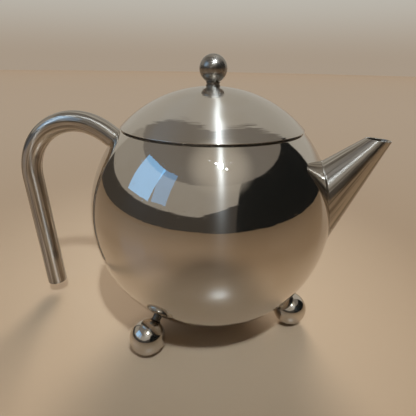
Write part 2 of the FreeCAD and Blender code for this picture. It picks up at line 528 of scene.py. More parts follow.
class Wiring:
    """Adds and joins the nodes of one tree."""

    number_sums = ("DOT_PRODUCT", "LENGTH")

    def __init__(self, tree: bpy.types.NodeTree) -> None:
        """Start from an empty tree."""
        self.tree = tree
        tree.nodes.clear()

    def add(self, kind: str, inputs: dict[str | int, object] | None = None,
            **settings: object) -> bpy.types.Node:
        """Add a node.

        Args:
            kind: The node's type, without the start that all types share.
            inputs: What its inputs get, each a socket to join or a constant.
            settings: Its settings.

        Returns:
            The node.
        """
        node = self.tree.nodes.new("ShaderNode" + kind)
        for name, value in settings.items():
            setattr(node, name, value)
        for name, value in (inputs or {}).items():
            self.feed(node.inputs[name], value)
        return node

    def feed(self, target: Socket, value: object) -> None:
        """Join an input to a socket, or give it a constant.

        Args:
            target: The input.
            value: The socket or the constant.
        """
        if isinstance(value, Socket):
            self.tree.links.new(value, target)
        else:
            target.default_value = value

    def math(self, operation: str, *numbers: object) -> Socket:
        """Add a sum on numbers."""
        return self.add("Math", dict(enumerate(numbers)), operation=operation).outputs[0]

    def vector(self, operation: str, *vectors: object) -> Socket:
        """Add a sum on vectors."""
        node = self.add("VectorMath", dict(enumerate(vectors)), operation=operation)
        return node.outputs["Value" if operation in self.number_sums else "Vector"]

    def spread(self, value: Socket, limits: Limits, low: float = 0.0, high: float = 1.0) -> Socket:
        """Map a range of numbers smoothly to another.

        Args:
            value: The number.
            limits: Where the range starts and ends.
            low: What its start becomes.
            high: What its end becomes.

        Returns:
            The new number.
        """
        inputs = {"Value": value, "From Min": limits[0], "From Max": limits[1], "To Min": low,
                  "To Max": high}
        return self.add("MapRange", inputs, interpolation_type="SMOOTHSTEP").outputs["Result"]

    def blend(self, share: Socket, first: Socket | Colour, second: Socket | Colour) -> Socket:
        """Mix two colours.

        Args:
            share: The second colour's share.
            first: The first colour.
            second: The second colour.

        Returns:
            The mixed colour.
        """
        node = self.add("Mix", {"Factor": share}, data_type="RGBA")
        targets = [socket for socket in node.inputs if socket.type == "RGBA"]
        for target, colour in zip(targets, (first, second)):
            self.feed(target, colour if isinstance(colour, Socket) else (*colour, 1.0))
        return [socket for socket in node.outputs if socket.type == "RGBA"][0]

    def noise(self, place: Socket, scale: float, detail: float, roughness: float,
              distortion: float = 0.0) -> Socket:
        """Add a cloudy pattern and give its height."""
        inputs = {"Vector": place, "Scale": scale, "Detail": detail, "Roughness": roughness,
                  "Distortion": distortion}
        return self.add("TexNoise", inputs).outputs["Fac"]

    def relief(self, height: Socket, depth: float, **under: Socket) -> Socket:
        """Raise a pattern on a plain face, or on the Normal of other relief."""
        return self.add("Bump", {"Strength": 1.0, "Distance": depth, "Height": height, **under}).outputs[0]


@dataclass(frozen=True)
class Grain:
    """Which way a piece was polished: round an axis through a point, or along a tube's run."""

    centre: Vector
    axis: Vector
    along_run: bool = False


# The patterns in the steel: how fine each one is, per metre, and the heights between which it shows.
CLOUD_SCALE = 34.0
CLOUD_SHOWS = (0.38, 0.72)
DIRT_SHOWS = (0.36, 0.60)
SMUDGE_SCALE = 58.0
SMUDGE_SHOWS = (0.42, 0.78)
DROP_SCALE = 95.0
DROP_SHOWS = (0.04, 0.09)
DROP_CHANCE = (0.62, 0.66)
DROP_DULLNESS = 0.20
RIPPLE_SCALE = 55.0
SCRATCH_SHOWS = (0.66, 0.74)
SCRATCH_TURN = (0.5, 0.9, 0.4)
SCRATCH_STRETCH = (900.0, 60.0, 900.0)
LINE_WAVER = (1.7, 1.7, 0.0)


@dataclass(frozen=True)
class SteelFinish:
    """Stainless steel: its tint, its gloss, and the marks that polishing and use left in it."""

    name: str
    gloss: Limits
    streak_share: float
    streak_roughness: float
    streak_pull: float
    line_pitch: float
    line_depth: float
    ripple_depth: float
    scratch_depth: float
    tint: Colour = (0.640, 0.600, 0.550)
    line_stain: float = 0.0
    cloud_fade: Colour = (0.955, 0.935, 0.905)
    line_fade: Colour = (0.30, 0.27, 0.24)

    def material(self, grain: Grain, label: str) -> Steel:
        """Make the material for pieces polished one way.

        Args:
            grain: Which way they were polished.
            label: What the material's name ends with.

        Returns:
            The material.
        """
        steel = bpy.data.materials.new(self.name + "_" + label)
        steel.use_nodes = True
        wires = Wiring(steel.node_tree)
        place = wires.add("TexCoord").outputs["Object"]
        offset = wires.vector("SUBTRACT", place, grain.centre)
        if grain.along_run:
            line_place = wires.add("Attribute", attribute_name=RUN).outputs["Vector"]
            streak_way = wires.add("Attribute", attribute_name=WAY).outputs["Vector"]
        else:
            line_place = self.lines_round(wires, offset, grain.axis)
            around = wires.vector("CROSS_PRODUCT", offset, grain.axis)
            streak_way = wires.vector("NORMALIZE", wires.vector("CROSS_PRODUCT", around, offset))
        lines = wires.noise(line_place, scale=1.0, detail=3.0, roughness=0.6)
        ripple, marks = self.polish_marks(wires, place, lines)
        base = {"Metallic": 1.0, "Base Color": self.uneven_tint(wires, place, lines)}
        mirror = wires.add("BsdfPrincipled", {**base, "Roughness": self.worn_gloss(wires, place),
                                              "Normal": marks})
        streak = wires.add("BsdfPrincipled", {**base, "Roughness": self.streak_roughness, "Normal": ripple,
                                              "Anisotropic": self.streak_pull, "Tangent": streak_way})
        both = wires.add("MixShader", {"Fac": self.streak_share, 1: mirror.outputs[0], 2: streak.outputs[0]})
        wires.add("OutputMaterial", {"Surface": both.outputs[0]})
        return steel

    def faded(self, fade: Colour) -> Colour:
        """Give the tint with each part faded."""
        return tuple(part * share for part, share in zip(self.tint, fade))

    def uneven_tint(self, wires: Wiring, place: Socket, lines: Socket) -> Socket:
        """Vary the tint a little, as handling and tea leave it, with the deeper lines darker.

        Args:
            wires: The material's nodes.
            place: The place on the piece.
            lines: The height of the fine lines.

        Returns:
            The colour.
        """
        cloud = wires.noise(place, scale=CLOUD_SCALE, detail=3.0, roughness=0.55)
        clouded = wires.blend(wires.spread(cloud, CLOUD_SHOWS), self.tint, self.faded(self.cloud_fade))
        if self.line_stain == 0.0:
            return clouded
        dirt = wires.spread(lines, DIRT_SHOWS, self.line_stain, 0.0)
        return wires.blend(dirt, clouded, self.faded(self.line_fade))

    def worn_gloss(self, wires: Wiring, place: Socket) -> Socket:
        """Make the gloss duller in smudges and in small dried drops.

        Args:
            wires: The material's nodes.
            place: The place on the piece.

        Returns:
            The roughness.
        """
        smudge = wires.noise(place, scale=SMUDGE_SCALE, detail=5.0, roughness=0.6, distortion=0.7)
        gloss = wires.spread(smudge, SMUDGE_SHOWS, *self.gloss)
        drop = wires.add("TexVoronoi", {"Vector": place, "Scale": DROP_SCALE, "Randomness": 1.0},
                         feature="F1")
        dried = wires.spread(drop.outputs["Distance"], DROP_SHOWS, DROP_DULLNESS, 0.0)
        chance = wires.add("SeparateColor", {0: drop.outputs["Color"]}).outputs[0]
        few = wires.spread(chance, DROP_CHANCE)
        return wires.math("ADD", gloss, wires.math("MULTIPLY", dried, few))

    def polish_marks(self, wires: Wiring, place: Socket, lines: Socket) -> tuple[Socket, Socket]:
        """Raise the marks of polishing: a slow ripple, fine lines and stray scratches.

        Args:
            wires: The material's nodes.
            place: The place on the piece.
            lines: The height of the fine lines.

        Returns:
            The normal of the ripple alone, and the normal of all the marks.
        """
        stretch = {"Vector": place, "Rotation": SCRATCH_TURN, "Scale": SCRATCH_STRETCH}
        stretched = wires.add("Mapping", stretch).outputs[0]
        stray = wires.noise(stretched, scale=1.0, detail=2.0, roughness=0.5)
        slow = wires.noise(place, scale=RIPPLE_SCALE, detail=1.0, roughness=0.4)
        ripple = wires.relief(slow, self.ripple_depth)
        lined = wires.relief(lines, self.line_depth, Normal=ripple)
        return ripple, wires.relief(wires.spread(stray, SCRATCH_SHOWS), -self.scratch_depth, Normal=lined)

    def lines_round(self, wires: Wiring, offset: Socket, axis: Vector) -> Socket:
        """Find the place among lines that run round an axis.

        Args:
            wires: The material's nodes.
            offset: The place measured from the grain's centre.
            axis: The axis.

        Returns:
            The place, whose Z counts the lines.
        """
        outward = wires.vector("NORMALIZE", offset)
        angle = wires.math("ARCCOSINE", wires.vector("DOT_PRODUCT", outward, axis))
        arc = wires.math("MULTIPLY", angle, wires.vector("LENGTH", offset))
        way = wires.add("SeparateXYZ", {0: wires.vector("MULTIPLY", outward, LINE_WAVER)}).outputs
        count = wires.math("DIVIDE", arc, self.line_pitch)
        return wires.add("CombineXYZ", {"X": way["X"], "Y": way["Y"], "Z": count}).outputs[0]


SPUN = SteelFinish(
    "spun_mirror_steel", gloss=(0.015, 0.045), streak_share=0.040, streak_roughness=0.29, streak_pull=1.0,
    line_pitch=3.0 * MM, line_depth=0.014 * MM, ripple_depth=0.050 * MM, scratch_depth=0.008 * MM)
SPUN_LID = SteelFinish(
    "spun_lid_steel", gloss=(0.020, 0.050), streak_share=0.21, streak_roughness=0.38, streak_pull=1.0,
    line_pitch=3.2 * MM, line_depth=0.130 * MM, ripple_depth=0.500 * MM, scratch_depth=0.008 * MM)
BUFFED = SteelFinish(
    "buffed_mirror_steel", gloss=(0.018, 0.055), streak_share=0.05, streak_roughness=0.30, streak_pull=0.8,
    line_pitch=1.2 * MM, line_depth=0.012 * MM, ripple_depth=0.012 * MM, scratch_depth=0.010 * MM)
DRAWN = SteelFinish(
    "drawn_tube_steel", gloss=(0.018, 0.055), streak_share=0.29, streak_roughness=0.47, streak_pull=1.0,
    line_pitch=1.0 * MM, line_depth=0.110 * MM, ripple_depth=0.012 * MM, scratch_depth=0.006 * MM,
    line_stain=0.75)
WORN = SteelFinish(
    "worn_knob_steel", gloss=(0.220, 0.340), streak_share=0.24, streak_roughness=0.45, streak_pull=0.6,
    line_pitch=1.3 * MM, line_depth=0.070 * MM, ripple_depth=0.012 * MM, scratch_depth=0.030 * MM,
    tint=(0.372, 0.341, 0.305), line_stain=0.45)
# Dull dark steel: painted shade inside the spout's bore and on the knob's collar under the ball.
DULL_SHADE = SteelFinish(
    "dull_painted_shade_steel", gloss=(0.180, 0.300), streak_share=0.25, streak_roughness=0.45, streak_pull=0.4,
    line_pitch=0.6 * MM, line_depth=0.010 * MM, ripple_depth=0.012 * MM, scratch_depth=0.010 * MM,
    tint=(0.240, 0.215, 0.185))
# Dark dull steel: a dark weld line at the spout's and handle's roots, and painted shade on the foot posts,
# which stand in shadow under the body.
WELD_AND_SHADE = SteelFinish(
    "weld_line_and_painted_shade_steel", gloss=(0.240, 0.380), streak_share=0.20, streak_roughness=0.50, streak_pull=0.3,
    line_pitch=0.6 * MM, line_depth=0.020 * MM, ripple_depth=0.030 * MM, scratch_depth=0.010 * MM,
    tint=(0.120, 0.104, 0.088))
SATIN = SteelFinish(
    "satin_steel", gloss=(0.24, 0.34), streak_share=0.45, streak_roughness=0.42, streak_pull=0.9,
    line_pitch=0.5 * MM, line_depth=0.004 * MM, ripple_depth=0.006 * MM, scratch_depth=0.003 * MM,
    tint=(0.600, 0.580, 0.550))


@dataclass(frozen=True)
class SharedSteels:
    """The materials that more than one sub-assembly has."""

    satin: Steel
    # Dark steel for the weld lines, and painted shade on the foot posts.
    weld: Steel
    # Dark steel for painted shade in the spout's bore and on the knob's collar.
    dull_shade: Steel


@dataclass
class SubAssembly:
    """Pieces that belong together: where the body is, and the materials that they share with others."""

    layout: Layout
    shared: SharedSteels

    def body_grain(self) -> Grain:
        """Give the way the body was polished, round its upright axis."""
        return Grain(self.layout.centre, UP)


@dataclass
class PotBody(SubAssembly):
    """The ball-shaped body: its wall, its mouth and the strainer holes behind the spout."""

    rim_rounding: float = 0.4 * MM
    hole_radius: float = 1.8 * MM
    hole_pitch: float = 5.8 * MM
    hole_field: float = 10.6 * MM
    hole_way: tuple[float, float, float] = (0.9619, 0.0, 0.2733)
    punch_length: float = 14.0 * MM
    punch_points: int = 32

    def build(self) -> list[Piece]:
        """Model the shell and dress it.

        Returns:
            The piece.
        """
        layout = self.layout
        work = Workpiece.shell("pot_shell", layout.centre, layout.radius, layout.rim_z, UP,
                               self.rim_rounding)
        self.punch(work)
        work.smooth()
        work.paint_where(lambda place, _: layout.above(place) < -SHEET / 2, 1)
        steels = [SPUN.material(self.body_grain(), "body"), self.shared.satin]
        return [work.finish(Body.POT, ["body_upper", "body_lower"], steels)]

    def punch(self, work: Workpiece) -> None:
        """Punch the strainer holes through the wall behind the spout.

        Args:
            work: The shell.
        """
        axis = Vector(self.hole_way).normalized()
        upward = axis.cross(SIDEWAYS)
        row_pitch = self.hole_pitch * math.sqrt(3) / 2
        rows = int(self.hole_field / row_pitch)
        columns = int(self.hole_field / self.hole_pitch) + 1
        first = Workpiece.added("strainer_punch", bpy.ops.mesh.primitive_cylinder_add,
                                vertices=self.punch_points, radius=self.hole_radius,
                                depth=self.punch_length, rotation=facing(axis),
                                location=self.layout.centre + axis * self.layout.radius)
        punches = [first]
        for row in range(-rows, rows + 1):
            for column in range(-columns, columns + 1):
                across = (column + 0.5 * (row % 2)) * self.hole_pitch
                up = row * row_pitch
                if 0.0 < math.hypot(across, up) <= self.hole_field:
                    punches.append(first.copied("strainer_punch", SIDEWAYS * across + upward * up))
        first.choose()
        for punch in punches:
            punch.piece.select_set(True)
        bpy.ops.object.join()
        work.apply("BOOLEAN", operation="DIFFERENCE", solver="EXACT", object=first.piece)
        bpy.data.objects.remove(first.piece)


@dataclass
class LidSeat(SubAssembly):
    """The ledge inside the mouth that the lid stands on."""

    bore_radius: float = 43.91 * MM
    lip_depth: float = 5.0 * MM
    rounding: float = 0.35 * MM
    rounding_steps: int = 4
    points: int = 160

    def build(self) -> list[Piece]:
        """Model the turned ledge and dress it.

        Returns:
            The piece.
        """
        layout = self.layout
        top = layout.ledge_z()
        under = top - SHEET
        foot = top - self.lip_depth
        bore = layout.radius - SHEET
        lip = self.bore_radius + SHEET
        profile = [(self.bore_radius, foot), (lip, foot), (lip, under),
                   (half_width(bore, under - layout.centre.z), under),
                   (half_width(bore, top - layout.centre.z), top), (self.bore_radius, top)]
        corners = [(self.bore_radius, top), (self.bore_radius, foot)]
        work = Workpiece.turned_upright("lid_seat", profile, self.points, corners, self.rounding,
                                        self.rounding_steps, SHARP)
        return [work.finish(Body.POT, ["lid_seat_ring"], [self.shared.satin], Slot.SATIN)]


@dataclass
class Spout(SubAssembly):
    """The straight conical spout, with a weld fillet at its root."""

    root_top: float = 33.1 * MM
    root_bottom: float = -14.1 * MM
    mouth_reach: float = 89.0 * MM
    mouth_height: float = 46.6 * MM
    mouth_length: float = 13.1 * MM
    mouth_tilt: float = 5.9
    wall: float = 0.9 * MM
    fillet: float = 0.7 * MM
    skirt: float = 1.8 * MM
    weld_line: float = 0.60 * MM
    lip_rounding: float = 0.25 * MM
    lip_zone: float = 1.3 * MM
    lip_turn: float = 1.0
    inside_turn: float = -0.6
    root_slack: float = 0.1 * MM
    lines: float = 7.0
    line_length: float = 60.0 * MM
    stock_length: float = 90.0 * MM
    points: int = 144
    apex: Vector = field(init=False)
    axis: Vector = field(init=False)
    half_angle: float = field(init=False)
    mouth_top: Vector = field(init=False)
    mouth_up: Vector = field(init=False)

    def __post_init__(self) -> None:
        """Work out the cone through the spout's edges, with its axis towards the body, and its mouth."""
        layout = self.layout
        tilt = math.radians(self.mouth_tilt)
        across = Vector((math.cos(tilt), 0.0, -math.sin(tilt))) * self.mouth_length
        mouth = layout.centre + Vector((self.mouth_reach, 0.0, self.mouth_height))
        ways = []
        for height, end in ((self.root_top, mouth - across / 2), (self.root_bottom, mouth + across / 2)):
            root = layout.centre + Vector((half_width(layout.radius, height), 0.0, height))
            ways.append((root - end).normalized())
        upper, lower = ways
        spread = upper.x * lower.z - upper.z * lower.x
        self.mouth_top = mouth - across / 2
        self.mouth_up = across.cross(SIDEWAYS).normalized()
        self.apex = self.mouth_top + upper * ((across.x * lower.z - across.z * lower.x) / spread)
        self.axis = (upper + lower).normalized()
        self.half_angle = upper.angle(lower) / 2

    def build(self) -> list[Piece]:
        """Model the cone, cope it to the body and dress it.

        Returns:
            The piece.
        """
        near = (self.mouth_top - self.apex).dot(self.axis) / 2
        far = near + self.stock_length
        slope = math.tan(self.half_angle)
        work = Workpiece.added("pouring_spout", bpy.ops.mesh.primitive_cone_add, vertices=self.points,
                               radius1=far * slope, radius2=near * slope, depth=self.stock_length,
                               end_fill_type="NOTHING", location=self.apex + self.axis * ((near + far) / 2),
                               rotation=facing(self.axis * -1))
        with work.editing():
            work.saw(self.mouth_top, self.mouth_up)
            self.cope(work, far)
            work.round_edges(self.fillet, FILLET_STEPS)
            work.face_outward()
        work.thicken(self.wall)
        with work.editing():
            work.pick("EDGE", self.on_lip)
            work.round_edges(self.lip_rounding, EDGE_STEPS)
        work.smooth(TUBE_SHARP)
        work.paint_weld(self.layout, self.weld_line)
        # The cone's inside faces take the dark steel, as painted shade in the bore.
        work.paint_where(self.faces_in, 2)
        work.mark_run(self.run)
        steel = DRAWN.material(Grain(self.apex, self.axis, True), "spout")
        return [work.finish(Body.POT, ["spout"], [steel, self.shared.weld, self.shared.dull_shade])]

    def cope(self, work: Workpiece, far: float) -> None:
        """Bring the root to the body, turn a skirt out along it and leave the crease selected.

        Args:
            work: The spout.
            far: How far from the apex the cone's wide end was added.
        """
        def spot(place: Vector) -> tuple[int, ...]:
            """Give a place as whole steps, so that points at one place give the same."""
            return tuple(round(part / SAME_PLACE) for part in place)

        work.pick("VERT", lambda point: (point.co - self.apex).dot(self.axis) > far - self.root_slack)
        crease = {spot(place) for place in work.move_points(self.meet_body)}
        work.draw_out(ORIGIN)
        work.move_points(self.skirt_out)
        work.pick("EDGE", lambda edge: not edge.is_boundary and all(
            spot(point.co) in crease for point in edge.verts))

    def meet_body(self, place: Vector) -> Vector:
        """Move a place along the cone's side to the body.

        Args:
            place: A place on the cone's side.

        Returns:
            Where that side meets the body.
        """
        ray = (place - self.apex).normalized()
        start = self.apex - self.layout.centre
        back = start.dot(ray)
        reach = math.sqrt(back ** 2 - start.length_squared + self.layout.radius ** 2)
        return self.apex - ray * (back + reach)

    def skirt_out(self, place: Vector) -> Vector:
        """Move a place on the body away from the cone, along the body.

        Args:
            place: A place where the cone meets the body.

        Returns:
            The place at the skirt's edge.
        """
        layout = self.layout
        outward = (place - layout.centre).normalized()
        away = self.from_axis(place)
        away = (away - outward * away.dot(outward)).normalized()
        moved = place + away * self.skirt - layout.centre
        return layout.centre + moved.normalized() * layout.radius

    def from_axis(self, place: Vector) -> Vector:
        """Give the way from the cone's axis to a place."""
        return place - self.apex - self.axis * (place - self.apex).dot(self.axis)

    def faces_in(self, place: Vector, normal: Vector) -> bool:
        """True for a face on the cone's inside."""
        return self.from_axis(place).normalized().dot(normal) < self.inside_turn

    def on_lip(self, edge: Edge) -> bool:
        """Tell whether an edge goes round the mouth where the lip turns.

        Args:
            edge: The edge.

        Returns:
            True where it does.
        """
        rises = [(point.co - self.mouth_top).dot(self.mouth_up) for point in edge.verts]
        near = max(abs(rise) for rise in rises) < self.lip_zone
        return near and len(edge.link_faces) == 2 and edge.calc_face_angle(0.0) > self.lip_turn

    def run(self, place: Vector) -> tuple[Vector, Vector]:
        """Give where a place lies on the cone's run.

        Args:
            place: The place.

        Returns:
            The way round the axis, in lines, with the way along it, in long steps; and the way down the
            side.
        """
        side = place - self.apex
        along = self.axis * (side.dot(self.axis) / self.line_length)
        return self.from_axis(place).normalized() * self.lines + along, side.normalized()


@dataclass
class Handle(SubAssembly):
    """The open hook handle: a bent tube, a weld fillet at its root and a plug in its free end."""

    tube_radius: float = 6.34 * MM
    wall: float = 0.9 * MM
    root_elevation: float = 33.3
    first_run: float = 7.8 * MM
    bend_radius: float = 34.8 * MM
    bend_angle: float = math.radians(128.4)
    leg_length: float = 77.5 * MM
    fillet: float = 0.5 * MM
    skirt: float = 1.4 * MM
    weld_line: float = 0.40 * MM
    plug_thickness: float = 1.6 * MM
    plug_spigot: float = 5.0 * MM
    plug_play: float = 0.05 * MM
    plug_rounding: float = 0.9 * MM
    seam: float = 0.06 * MM
    lines: float = 4.0
    line_length: float = 60.0 * MM
    streak_lean: float = 0.05
    points: int = 80
    bend_steps: int = 72
    outward: Vector = field(init=False)
    inward: Vector = field(init=False)
    bend_start: Vector = field(init=False)
    bend_centre: Vector = field(init=False)
    leg: Vector = field(init=False)
    leg_away: Vector = field(init=False)
    tube_end: Vector = field(init=False)

    def __post_init__(self) -> None:
        """Work out the tube's line: out of the body, round the bend and down the leg."""
        rise = math.radians(self.root_elevation)
        self.outward = Vector((-math.cos(rise), 0.0, math.sin(rise)))
        self.inward = Vector((-math.sin(rise), 0.0, -math.cos(rise)))
        self.bend_start = self.layout.centre + self.outward * (self.layout.radius + self.first_run)
        self.bend_centre = self.bend_start + self.inward * self.bend_radius
        ahead, aside = math.cos(self.bend_angle), math.sin(self.bend_angle)
        self.leg = self.outward * ahead + self.inward * aside
        self.leg_away = self.outward * aside - self.inward * ahead
        leg_start = self.bend_centre + self.leg_away * self.bend_radius
        self.tube_end = leg_start + self.leg * (self.leg_length - self.plug_thickness)

    def build(self) -> list[Piece]:
        """Model the tube and its plug, and dress them."""
        steel = DRAWN.material(Grain(self.bend_centre, SIDEWAYS, True), "handle")
        return [self.tube(steel), self.plug(steel)]

    def tube(self, steel: Steel) -> Piece:
        """Model the bent tube and dress it.

        Args:
            steel: Its material.

        Returns:
            The piece.
        """
        layout = self.layout
        skirt_radius = self.tube_radius + self.skirt
        skirt_centre = layout.centre + self.outward * half_width(layout.radius, skirt_radius)
        root = layout.centre + self.outward * half_width(layout.radius, self.tube_radius)
        work = Workpiece.hoop("hook_handle", skirt_centre, self.outward, skirt_radius, self.points)
        with work.editing():
            bpy.ops.mesh.select_all(action="SELECT")
            work.draw_out(root - skirt_centre)
            work.scale_about(root, self.tube_radius / skirt_radius)
            work.draw_out(self.bend_start - root)
            bpy.ops.mesh.spin(steps=self.bend_steps, angle=self.bend_angle, center=self.bend_centre,
                              axis=SIDEWAYS)
            work.draw_out(self.leg * (self.leg_length - self.plug_thickness))
            bpy.ops.mesh.select_all(action="SELECT")
            bpy.ops.mesh.remove_doubles(threshold=SAME_PLACE)
            work.face_outward()
            work.round_circle(root, self.tube_radius, self.fillet, FILLET_STEPS, self.outward)
        work.thicken(self.wall)
        with work.editing():
            work.round_circle(self.tube_end, self.tube_radius, self.seam, SEAM_STEPS, self.leg)
        work.smooth(TUBE_SHARP)
        work.paint_weld(layout, self.weld_line)
        work.mark_run(self.run)
        return work.finish(Body.POT, ["handle_tube"], [steel, self.shared.weld])

    def plug(self, steel: Steel) -> Piece:
        """Model the plug in the free end and dress it.

        Args:
            steel: Its material.

        Returns:
            The piece.
        """
        spigot = self.tube_radius - self.wall - self.plug_play
        profile = [(spigot, -self.plug_spigot), (spigot, 0.0), (self.tube_radius, 0.0),
                   (self.tube_radius, self.plug_thickness)]
        work = Workpiece.turned("handle_plug", self.tube_end, self.leg, profile, self.points, False)
        tip = self.tube_end + self.leg * self.plug_thickness
        with work.editing():
            work.round_circle(tip, self.tube_radius, self.plug_rounding, FILLET_STEPS, self.leg)
            work.round_circle(self.tube_end, self.tube_radius, self.seam, SEAM_STEPS, self.leg)
        work.smooth(TUBE_SHARP)
        work.mark_run(self.run)
        return work.finish(Body.POT, ["handle_end_cap"], [steel])

    def run(self, place: Vector) -> tuple[Vector, Vector]:
        """Give where a place lies on the tube's run.

        Args:
            place: The place.

        Returns:
            The way round the tube, in lines, with the way along it, in long steps; and the tube's
            direction.
        """
        spoke = place - self.bend_centre
        spoke.y = 0.0
        past_bend = spoke.dot(self.leg)
        before_bend = -spoke.dot(self.outward)
        if past_bend > 0 and past_bend > before_bend:
            along = self.bend_radius * self.bend_angle + past_bend
            away = self.leg_away
        elif before_bend > 0:
            along = -before_bend
            away = self.inward * -1
        else:
            away = spoke.normalized()
            along = self.bend_radius * away.angle(self.inward * -1)
        across = Vector((spoke.dot(away) - self.bend_radius, place.y)).normalized() * self.lines
        lean = SIDEWAYS * self.streak_lean
        return Vector((*across, along / self.line_length)), (away.cross(SIDEWAYS) + lean).normalized()


@dataclass
class Feet(SubAssembly):
    """Three ball feet on short posts."""

    names: tuple[str, ...] = ("front", "left", "right")
    tilt: float = 39.5
    ball_radius: float = 10.25 * MM
    flat_rounding: float = 0.25 * MM
    neck_length: float = 3.2 * MM
    post_radius: float = 2.5 * MM
    post_grip: float = 6.0 * MM
    post_points: int = 48
    root_sink: float = 0.15 * MM
    tip_sink: float = 0.35 * MM
    tip_run: float = 0.1 * MM
    flare: float = 0.7 * MM
    flare_steps: int = 4

    def outward(self, number: int) -> Vector:
        """Give the way from the body's centre to a foot.

        Args:
            number: The foot's number, from 0.

        Returns:
            The way, of length 1.
        """
        tilt = math.radians(self.tilt)
        angle = math.tau * number / len(self.names)
        return Vector((math.sin(tilt) * math.cos(angle), math.sin(tilt) * math.sin(angle), -math.cos(tilt)))

    def ball_centre(self, number: int) -> Vector:
        """Give the centre of a foot's ball."""
        return self.layout.centre + self.outward(number) * (
            self.layout.radius + self.neck_length + self.ball_radius)

    def build(self) -> list[Piece]:
        """Model one ball and one post, copy them round, and dress them.

        Returns:
            The pieces.
        """
        first_ball = Workpiece.flat_ball("ball_foot_" + self.names[0], self.ball_centre(0), self.ball_radius,
                                         FLOOR_Z, self.flat_rounding)
        balls = self.set_round(first_ball, "ball_foot_")
        posts = self.set_round(self.post(), "foot_post_")
        made = []
        for number, name in enumerate(self.names):
            grain = Grain(self.ball_centre(number), self.outward(number))
            steel = BUFFED.material(grain, "foot_" + name)
            made.append(balls[number].finish(Body.POT, ["foot_ball_" + name], [steel]))
            # The posts take the dark weld steel as painted shade, for they stand in shadow under the body.
            made.append(posts[number].finish(Body.POT, ["foot_stud_" + name], [self.shared.weld]))
        return made

    def set_round(self, first: Workpiece, stem: str) -> list[Workpiece]:
        """Copy the first foot's piece to the other feet.

        Args:
            first: The first foot's piece.
            stem: What the copies' names start with.

        Returns:
            The pieces, in the order of the feet's names.
        """
        turns = [math.tau * number / len(self.names) for number in range(len(self.names))]
        others = list(zip(self.names, turns))[1:]
        return [first] + [first.copied(stem + name, turn=turn) for name, turn in others]

    def post(self) -> Workpiece:
        """Model the first foot's post, with a weld fillet at each end of its neck.

        Returns:
            The workpiece.
        """
        radius = self.post_radius
        root = self.layout.radius - self.root_sink
        tip = self.layout.radius + self.neck_length + self.tip_sink
        turns = [math.pi / 2 * step / self.flare_steps for step in range(self.flare_steps + 1)]
        curve = [(self.flare * (1 - math.sin(turn)), self.flare * (1 - math.cos(turn))) for turn in turns]
        profile = [(radius + out, root + along) for out, along in curve]
        profile += [(radius + out, tip - along) for along, out in curve]
        profile += [(radius, tip + self.tip_run), (radius, tip + self.post_grip)]
        work = Workpiece.turned("foot_post_" + self.names[0], self.layout.centre, self.outward(0), profile,
                                self.post_points, False)
        work.smooth()
        return work


@dataclass
class Lid(SubAssembly):
    """The domed lid and its stepped ring."""

    edge_rounding: float = 0.35 * MM
    ring_sheet: float = 0.8 * MM
    skirt_radius: float = 43.51 * MM
    shoulder_radius: float = 48.31 * MM
    skirt_depth: float = 8.0 * MM
    ring_rounding: float = 0.3 * MM
    ring_points: int = 160

    def build(self) -> list[Piece]:
        """Model the dome and the ring, and dress them."""
        return [self.dome(), self.ring()]

    def dome(self) -> Piece:
        """Model the dome, with the screw's hole at its top, and dress it.

        Returns:
            The piece.
        """
        layout = self.layout
        radius = layout.lid_radius
        work = Workpiece.shell("lid_dome", layout.centre, radius, layout.lid_edge_z, DOWN,
                               self.edge_rounding)
        with work.editing():
            work.pick("VERT", lambda point: point.co.xy.length < SLACK)
            bpy.ops.mesh.delete(type="VERT")
            work.pick_open_edges()
            factor = LID_HOLE / (radius * math.sin(math.pi / SHELL_RINGS))
            bpy.ops.transform.resize(value=(factor, factor, 1.0), center_override=layout.centre)
            bpy.ops.mesh.bridge_edge_loops()
        work.smooth()
        work.paint_where(lambda place, _: layout.above(place) < LID_PROUD - SHEET / 2, 1)
        steels = [SPUN_LID.material(self.body_grain(), "lid"), self.shared.satin]
        return work.finish(Body.LID, ["lid_shell"], steels)

    def ring(self) -> Piece:
        """Model the stepped ring and dress it.

        Returns:
            The piece.
        """
        layout = self.layout
        skirt, shoulder = self.skirt_radius, self.shoulder_radius
        inner_skirt, inner_shoulder = skirt - self.ring_sheet, shoulder - self.ring_sheet
        ledge = layout.ledge_z()
        foot = ledge - self.skirt_depth
        step = ledge + self.ring_sheet
        profile = [(inner_skirt, foot), (skirt, foot), (skirt, ledge), (shoulder, ledge),
                   (shoulder, layout.lid_inside_z(shoulder)),
                   (inner_shoulder, layout.lid_inside_z(inner_shoulder)), (inner_shoulder, step),
                   (inner_skirt, step)]
        corners = [(skirt, foot), (inner_skirt, foot), (shoulder, ledge), (inner_skirt, step)]
        work = Workpiece.turned_upright("lid_ring", profile, self.ring_points, corners, self.ring_rounding,
                                        degrees=SHARP)
        return work.finish(Body.LID, ["lid_locating_ring"], [self.shared.satin], Slot.SATIN)


